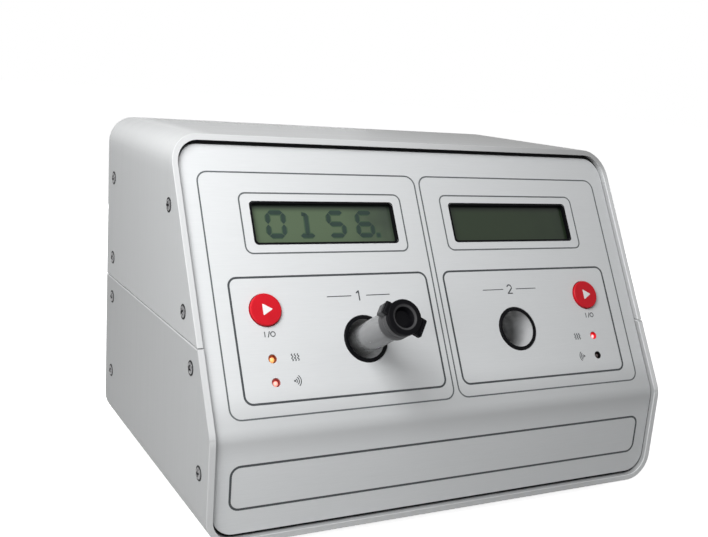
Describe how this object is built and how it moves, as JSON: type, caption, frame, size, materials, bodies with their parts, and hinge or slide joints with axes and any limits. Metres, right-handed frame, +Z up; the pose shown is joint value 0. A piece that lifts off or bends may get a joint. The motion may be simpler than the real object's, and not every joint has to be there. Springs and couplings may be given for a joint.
{
  "type": "clotting time analyzer",
  "caption": "Bench analyzer with a sloping silver panel, displays, push buttons and lamps above heated, turning test wells, with a capped test tube standing in a well.",
  "frame": {"origin": "on the table, under the middle of the instrument's bounding box", "axes": "+X to the right as seen from the front, +Y to the back, +Z up"},
  "size_m": [0.22, 0.1695, 0.151],
  "materials": {
    "brushed_case": "brushed, satin",
    "panel_silver": "satin silver, fine texture",
    "black_rubber": "matt",
    "black_plastic": "satin",
    "grey_plastic": "satin",
    "white_nylon": "satin",
    "red_button": "satin film",
    "amber_lens": "clear tinted, lit",
    "red_lens": "clear tinted, lit",
    "lcd_glass": "smooth display glass",
    "turned_aluminium": "turned, bright",
    "bronze": "sintered bronze",
    "steel": "zinc plated",
    "magnet": "nickel plated",
    "circuit_board": "solder mask",
    "tube_plastic": "clear"
  },
  "bodies": {
    "analyzer": {"upper_shell": "brushed_case", "lower_shell": "brushed_case", "front_panel": "panel_silver", "rear_panel": "panel_silver", "top_gasket": "black_rubber", "bottom_gasket": "black_rubber", "foot_front_left": "black_rubber", "foot_front_right": "black_rubber", "foot_rear_left": "black_rubber", "foot_rear_right": "black_rubber", "lcd_frame_1": "black_plastic", "lcd_frame_2": "black_plastic", "well_ring_1": "black_plastic", "well_ring_2": "black_plastic", "clot_sensor_1": "black_plastic", "clot_sensor_2": "black_plastic", "power_inlet": "black_plastic", "switch_housing": "black_plastic", "heater_lamp_1": "amber_lens", "heater_lamp_2": "amber_lens", "sensor_lamp_1": "red_lens", "sensor_lamp_2": "red_lens", "lcd_glass_1": "lcd_glass", "lcd_glass_2": "lcd_glass", "heater_block_1": "turned_aluminium", "heater_block_2": "turned_aluminium", "front_bush_1": "bronze", "front_bush_2": "bronze", "rear_bush_1": "bronze", "rear_bush_2": "bronze", "heater_cartridge_1": "steel", "heater_cartridge_2": "steel", "gear_motor_1": "steel", "gear_motor_2": "steel", "drive_plate": "steel", "transformer": "steel", "serial_port": "steel", "lcd_board_1": "circuit_board", "lcd_board_2": "circuit_board", "control_board_1": "circuit_board", "control_board_2": "circuit_board", "main_board": "circuit_board"},
    "start_button_1": {"start_button_1": "red_button"},
    "start_button_2": {"start_button_2": "red_button"},
    "rotor_1": {"well_rotor_1": "turned_aluminium", "rotor_gear_1": "white_nylon"},
    "rotor_2": {"well_rotor_2": "turned_aluminium", "rotor_gear_2": "white_nylon"},
    "pinion_1": {"motor_pinion_1": "steel"},
    "pinion_2": {"motor_pinion_2": "steel"},
    "rocker": {"power_rocker": "black_plastic"},
    "fuse_drawer": {"fuse_drawer": "grey_plastic"},
    "test_tube": {"tube_barrel": "tube_plastic", "tube_cap": "black_plastic", "tube_magnet": "magnet"},
    "tube_lid": {"tube_lid": "black_plastic"}
  },
  "joints": [
    {"name": "start_button_1_press", "type": "slide", "parent": "analyzer", "child": "start_button_1", "axis": [0, 0.866, -0.5], "range_m": [0, 0.0008], "stiffness_N_per_m": 800, "springref_m": -0.0004},
    {"name": "start_button_2_press", "type": "slide", "parent": "analyzer", "child": "start_button_2", "axis": [0, 0.866, -0.5], "range_m": [0, 0.0008], "stiffness_N_per_m": 800, "springref_m": -0.0004},
    {"name": "rotor_1_spin", "type": "hinge", "parent": "analyzer", "child": "rotor_1", "pos_m": [-0.03815, -0.05208, 0.07515], "axis": [0, -0.866, 0.5], "continuous": true},
    {"name": "pinion_1_spin", "type": "hinge", "parent": "analyzer", "child": "pinion_1", "pos_m": [-0.03815, -0.04168, 0.09316], "axis": [0, -0.866, 0.5], "continuous": true},
    {"name": "rotor_2_spin", "type": "hinge", "parent": "analyzer", "child": "rotor_2", "pos_m": [0.03815, -0.05208, 0.07515], "axis": [0, -0.866, 0.5], "continuous": true},
    {"name": "pinion_2_spin", "type": "hinge", "parent": "analyzer", "child": "pinion_2", "pos_m": [0.03815, -0.04168, 0.09316], "axis": [0, -0.866, 0.5], "continuous": true},
    {"name": "power_switch", "type": "hinge", "parent": "analyzer", "child": "rocker", "pos_m": [-0.008, 0.07972, 0.063], "axis": [-1, 0, 0], "range_deg": [0, 16]},
    {"name": "fuse_drawer_slide", "type": "slide", "parent": "analyzer", "child": "fuse_drawer", "axis": [0, 1, 0], "range_m": [0, 0.018]},
    {"name": "test_tube_slide", "type": "slide", "parent": "rotor_1", "child": "test_tube", "axis": [0, -0.866, 0.5], "range_m": [0, 0.05]},
    {"name": "tube_lid_hinge", "type": "hinge", "parent": "test_tube", "child": "tube_lid", "pos_m": [-0.04486, -0.07701, 0.09457], "axis": [-0.5446, -0.4193, -0.7263], "range_deg": [0, 120]}
  ],
  "couplings": [
    {"joint": "pinion_1_spin", "follows": "rotor_1_spin", "ratio": -3.3333},
    {"joint": "pinion_2_spin", "follows": "rotor_2_spin", "ratio": -3.3333}
  ]
}
